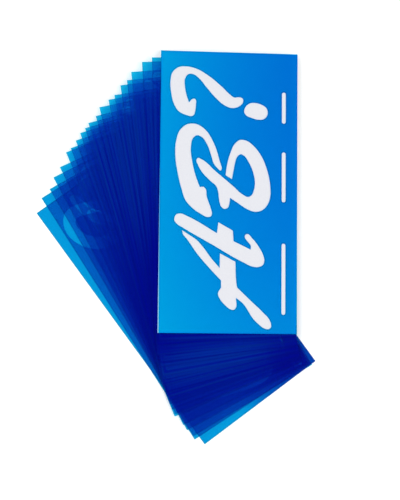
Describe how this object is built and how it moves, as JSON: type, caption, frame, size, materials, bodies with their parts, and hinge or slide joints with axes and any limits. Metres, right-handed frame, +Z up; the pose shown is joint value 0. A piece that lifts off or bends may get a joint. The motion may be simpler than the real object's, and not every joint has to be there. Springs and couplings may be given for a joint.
{
  "type": "lettering stencil",
  "caption": "Set of large brush-script lettering stencils: see-through blue film sheets fanned out, with a white card under the top one.",
  "frame": {"origin": "centre of the fan's box, at the underside of the bottom sheet", "axes": "+Z up, away from the table; +Y along the top sheet's long edges, the way its characters are read; +X along its short edges, towards the fan's centre"},
  "size_m": [0.2826, 0.3966, 0.0066],
  "materials": {
    "blue_film": "gloss",
    "white_card": "matt"
  },
  "bodies": {
    "sheet_21": {"sheet_21": "blue_film"},
    "sheet_20": {"sheet_20": "blue_film"},
    "sheet_19": {"sheet_19": "blue_film"},
    "sheet_18": {"sheet_18": "blue_film"},
    "sheet_17": {"sheet_17": "blue_film"},
    "sheet_16": {"sheet_16": "blue_film"},
    "sheet_15": {"sheet_15": "blue_film"},
    "sheet_14": {"sheet_14": "blue_film"},
    "sheet_13": {"sheet_13": "blue_film"},
    "sheet_12": {"sheet_12": "blue_film"},
    "sheet_11": {"sheet_11": "blue_film"},
    "sheet_10": {"sheet_10": "blue_film"},
    "sheet_09": {"sheet_09": "blue_film"},
    "sheet_08": {"sheet_08": "blue_film"},
    "sheet_07": {"sheet_07": "blue_film"},
    "sheet_06": {"sheet_06": "blue_film"},
    "sheet_05": {"sheet_05": "blue_film"},
    "sheet_04": {"sheet_04": "blue_film"},
    "sheet_03": {"sheet_03": "blue_film"},
    "sheet_02": {"sheet_02": "blue_film"},
    "backing_card": {"backing_card": "white_card"},
    "sheet_01": {"sheet_01": "blue_film"}
  },
  "joints": [
    {"name": "turn_sheet_20", "type": "hinge", "parent": "sheet_21", "child": "sheet_20", "pos_m": [0.17907, -0.07773, 0], "axis": [0, 0, 1], "range_deg": [-0.9, 3.6]},
    {"name": "turn_sheet_19", "type": "hinge", "parent": "sheet_20", "child": "sheet_19", "pos_m": [0.17907, -0.07773, 0], "axis": [0, 0, 1], "range_deg": [-2.3, 2.2]},
    {"name": "turn_sheet_18", "type": "hinge", "parent": "sheet_19", "child": "sheet_18", "pos_m": [0.17907, -0.07773, 0], "axis": [0, 0, 1], "range_deg": [-2.2, 2.3]},
    {"name": "turn_sheet_17", "type": "hinge", "parent": "sheet_18", "child": "sheet_17", "pos_m": [0.17907, -0.07773, 0], "axis": [0, 0, 1], "range_deg": [-2.2, 2.3]},
    {"name": "turn_sheet_16", "type": "hinge", "parent": "sheet_17", "child": "sheet_16", "pos_m": [0.17907, -0.07773, 0], "axis": [0, 0, 1], "range_deg": [-1.3, 3.2]},
    {"name": "turn_sheet_15", "type": "hinge", "parent": "sheet_16", "child": "sheet_15", "pos_m": [0.17907, -0.07773, 0], "axis": [0, 0, 1], "range_deg": [-3.6, 0.9]},
    {"name": "turn_sheet_14", "type": "hinge", "parent": "sheet_15", "child": "sheet_14", "pos_m": [0.17907, -0.07773, 0], "axis": [0, 0, 1], "range_deg": [-2.8, 1.7]},
    {"name": "turn_sheet_13", "type": "hinge", "parent": "sheet_14", "child": "sheet_13", "pos_m": [0.17907, -0.07773, 0], "axis": [0, 0, 1], "range_deg": [-3, 1.5]},
    {"name": "turn_sheet_12", "type": "hinge", "parent": "sheet_13", "child": "sheet_12", "pos_m": [0.17907, -0.07773, 0], "axis": [0, 0, 1], "range_deg": [-3.3, 1.2]},
    {"name": "turn_sheet_11", "type": "hinge", "parent": "sheet_12", "child": "sheet_11", "pos_m": [0.17907, -0.07773, 0], "axis": [0, 0, 1], "range_deg": [-3.5, 1]},
    {"name": "turn_sheet_10", "type": "hinge", "parent": "sheet_11", "child": "sheet_10", "pos_m": [0.17907, -0.07773, 0], "axis": [0, 0, 1], "range_deg": [-2.8, 1.7]},
    {"name": "turn_sheet_09", "type": "hinge", "parent": "sheet_10", "child": "sheet_09", "pos_m": [0.17907, -0.07773, 0], "axis": [0, 0, 1], "range_deg": [-3, 1.5]},
    {"name": "turn_sheet_08", "type": "hinge", "parent": "sheet_09", "child": "sheet_08", "pos_m": [0.17907, -0.07773, 0], "axis": [0, 0, 1], "range_deg": [-2.6, 1.9]},
    {"name": "turn_sheet_07", "type": "hinge", "parent": "sheet_08", "child": "sheet_07", "pos_m": [0.17907, -0.07773, 0], "axis": [0, 0, 1], "range_deg": [-3.3, 1.2]},
    {"name": "turn_sheet_06", "type": "hinge", "parent": "sheet_07", "child": "sheet_06", "pos_m": [0.17907, -0.07773, 0], "axis": [0, 0, 1], "range_deg": [-2.8, 1.7]},
    {"name": "turn_sheet_05", "type": "hinge", "parent": "sheet_06", "child": "sheet_05", "pos_m": [0.17907, -0.07773, 0], "axis": [0, 0, 1], "range_deg": [-3.1, 1.4]},
    {"name": "turn_sheet_04", "type": "hinge", "parent": "sheet_05", "child": "sheet_04", "pos_m": [0.17907, -0.07773, 0], "axis": [0, 0, 1], "range_deg": [-3.1, 1.4]},
    {"name": "turn_sheet_03", "type": "hinge", "parent": "sheet_04", "child": "sheet_03", "pos_m": [0.17907, -0.07773, 0], "axis": [0, 0, 1], "range_deg": [-2.2, 2.3]},
    {"name": "turn_sheet_02", "type": "hinge", "parent": "sheet_03", "child": "sheet_02", "pos_m": [0.17907, -0.07773, 0], "axis": [0, 0, 1], "range_deg": [-2.8, 1.7]},
    {"name": "turn_card", "type": "hinge", "parent": "sheet_02", "child": "backing_card", "pos_m": [0.17907, -0.07773, 0], "axis": [0, 0, 1], "range_deg": [-2.3, 2.2]},
    {"name": "lift_sheet_01", "type": "slide", "parent": "backing_card", "child": "sheet_01", "axis": [0, 0, 1], "range_m": [0, 0.06]}
  ]
}
